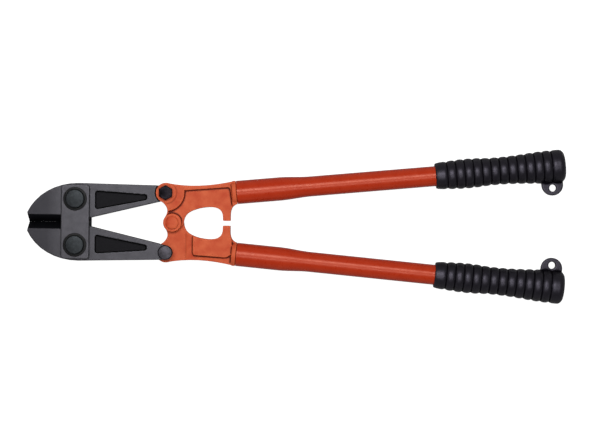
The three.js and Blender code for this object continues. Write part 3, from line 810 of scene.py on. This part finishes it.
# %% The grip rule as a geometry tree
def grip_tree(outline):
    """A geometry tree that sweeps a ribbed sleeve. The outline is (share of length, share of radius)."""
    tree = bpy.data.node_groups.new("ribbed_grip", "GeometryNodeTree")
    face = tree.interface
    for name, kind, value in GRIP_INPUTS:
        socket = face.new_socket(name=name, in_out="INPUT", socket_type="NodeSocket" + kind)
        if value is not None:
            socket.default_value = value
    face.new_socket(name="Geometry", in_out="OUTPUT", socket_type="NodeSocketGeometry")
    given = add(tree, "NodeGroupInput").outputs

    def maths(operation, first, second=0.0):
        return add(tree, "ShaderNodeMath", {0: first, 1: second}, operation=operation).outputs[0]

    line = add(tree, "GeometryNodeCurvePrimitiveLine", {"Start": given["Start"], "End": given["End"]})
    fine = add(tree, "GeometryNodeResampleCurve", {"Curve": line.outputs[0], "Count": given["Rings"]})
    along = add(tree, "GeometryNodeSplineParameter").outputs
    mould = add(tree, "ShaderNodeFloatCurve", {"Value": along["Factor"]})
    curve = mould.mapping.curves[0]
    curve.points[0].location = outline[0]
    curve.points[-1].location = outline[-1]
    for share, size in outline[1:-1]:
        curve.points.new(share, size)
    for point in curve.points:
        point.handle_type = "AUTO_CLAMPED"
    mould.mapping.update()
    body = maths("MULTIPLY", mould.outputs[0], given["Largest Radius"])

    turns = maths("DIVIDE", maths("SUBTRACT", along["Length"], given["First Groove"]), given["Pitch"])
    share = maths("FRACT", turns)
    from_crest = maths("MULTIPLY", maths("ABSOLUTE", maths("SUBTRACT", share, 0.5)), 2.0)
    groove = maths("POWER", from_crest, given["Crest Roundness"])
    begun = maths("GREATER_THAN", turns, -0.5)
    ended = maths("LESS_THAN", turns, maths("ADD", given["Grooves"], -0.5))
    cut = maths("MULTIPLY", groove, maths("MULTIPLY", begun, ended))
    radius = maths("SUBTRACT", body, maths("MULTIPLY", cut, given["Groove Depth"]))

    sockets = {"Resolution": given["Sides"], "Radius": 1.0}
    circle = add(tree, "GeometryNodeCurvePrimitiveCircle", sockets, mode="RADIUS")
    sockets = {"Curve": fine.outputs[0], "Profile Curve": circle.outputs[0], "Scale": radius,
               "Fill Caps": True}
    swept = add(tree, "GeometryNodeCurveToMesh", sockets)
    real = add(tree, "GeometryNodeRealizeInstances", {"Geometry": swept.outputs[0]})
    sockets = {"Geometry": real.outputs[0], "Material": given["Finish"]}
    dressed = add(tree, "GeometryNodeSetMaterial", sockets)
    add(tree, "NodeGroupOutput", {"Geometry": dressed.outputs[0]})
    return tree


GRIP_INPUTS = (
    ("Start", "Vector", None),
    ("End", "Vector", None),
    ("Rings", "Int", 460),
    ("Sides", "Int", 96),
    ("Largest Radius", "Float", None),
    ("First Groove", "Float", 9.7 * MM),
    ("Pitch", "Float", 7.3 * MM),
    ("Grooves", "Int", 13),
    ("Groove Depth", "Float", 1.15 * MM),
    ("Crest Roundness", "Float", 2.7),
    ("Finish", "Material", None),
)


# %% Mould the grips
GRIP_SKIN = {"skin_mm": 0.45, "passes": 3}
GRIP_SHARP_EDGE = math.radians(60)
ROOT_DEPTH = 3.5 * MM
ROOT_OVERLAP = 0.4 * MM
BORE_STEP = 2 * MM
BORE_RADIUS = 8.7 * MM
CAP = 5.5 * MM


def grown(tree, values):
    """The mesh that a geometry tree makes from named values."""
    carrier = bpy.data.objects.new("carrier", bpy.data.meshes.new("carrier"))
    bpy.context.scene.collection.objects.link(carrier)
    modifier = carrier.modifiers.new("rule", "NODES")
    modifier.node_group = tree
    keys = {item.name: item.identifier for item in tree.interface.items_tree if item.in_out == "INPUT"}
    for name, value in values.items():
        modifier[keys[name]] = value
    graph = bpy.context.evaluated_depsgraph_get()
    made = bpy.data.meshes.new_from_object(carrier.evaluated_get(graph))
    carrier.modifiers.remove(modifier)
    bpy.data.objects.remove(carrier)
    return made


def outer_outline(node, start, axis):
    """The outline of a sleeve from its rings, without the ring at the bottom of its bore."""
    rings = rings_of(node, start, axis)
    kept = [rings[0]]
    for before, ring, after in zip(rings, rings[1:], rings[2:]):
        if ring[1] > min(before[1], after[1]) - BORE_STEP:
            kept.append(ring)
    return kept + [rings[-1]]


def bore_cutter(start, axis, radius, length):
    """A plain round bar that opens the bore of a sleeve from its front end."""
    profile = [(0, -1 * MM), (radius, -1 * MM), (radius, length), (0, length)]
    return turned(profile, start, axis)


def root_block(eye_node, start, axis):
    """The eye's neck carried on into the sleeve, so that one skin covers both."""
    points = points_of(eye_node)
    offset = points - np.array(start)
    along = offset @ np.array(axis)
    out = offset - np.outer(along, np.array(axis))
    sideways = Vector((out[:, 0].mean(), out[:, 1].mean(), 0)).normalized()
    reach = out @ np.array(sideways)
    near, low, high = reach.min(), points[:, 2].min(), points[:, 2].max()
    block = bmesh.new()
    corners = []
    for distance in (along.min(), along.max()):
        for away in (near - ROOT_DEPTH, near + ROOT_OVERLAP):
            for level in (low, high):
                spot = start + axis * distance + sideways * away
                corners.append(block.verts.new((spot.x, spot.y, level)))
    bmesh.ops.convex_hull(block, input=corners)
    made = bpy.data.meshes.new("root")
    block.to_mesh(made)
    block.free()
    return made


def opened(mesh, cutter):
    """A mesh with the cutter's volume taken out of it."""
    tool = bpy.data.objects.new("cutter", cutter)
    bpy.context.scene.collection.objects.link(tool)
    made = baked(mesh, ("BOOLEAN", {"operation": "DIFFERENCE", "object": tool, "solver": "EXACT"}))
    bpy.data.objects.remove(tool)
    return made


for side in SIDES:
    node = side + "_grip"
    start, axis = lines[side]
    outline = outer_outline(node, start, axis)
    first, last = outline[0][0], outline[-1][0]
    widest = max(radius for _, radius in outline)
    mould_line = [((d - first) / (last - first), r / widest) for d, r in outline]
    values = {"Start": start + axis * first, "End": start + axis * last, "Largest Radius": widest,
              "Finish": VINYL}
    sleeve = grown(grip_tree(mould_line), values)
    eye = frame["nodes"][side + "_hang_tab"].data
    root = root_block(side + "_hang_tab", start, axis)
    whole = softened(merged(sleeve, eye, root), **GRIP_SKIN)
    cutter = bore_cutter(start + axis * first, axis, BORE_RADIUS, last - first - CAP)
    cut = opened(whole, cutter)
    feel_corners(cut)
    show(side + "_moulded_grip", cut, side + "_handle", "grip_vinyl", [node, side + "_hang_tab"], VINYL)
    cut.set_sharp_from_angle(angle=GRIP_SHARP_EDGE)

# %% [markdown]
# ## Last update
# The view layer is brought up to date once every piece is in place. The finished tool has to stay
# inside the engineering model's box.

# %% Update the view layer
bpy.context.view_layer.update()
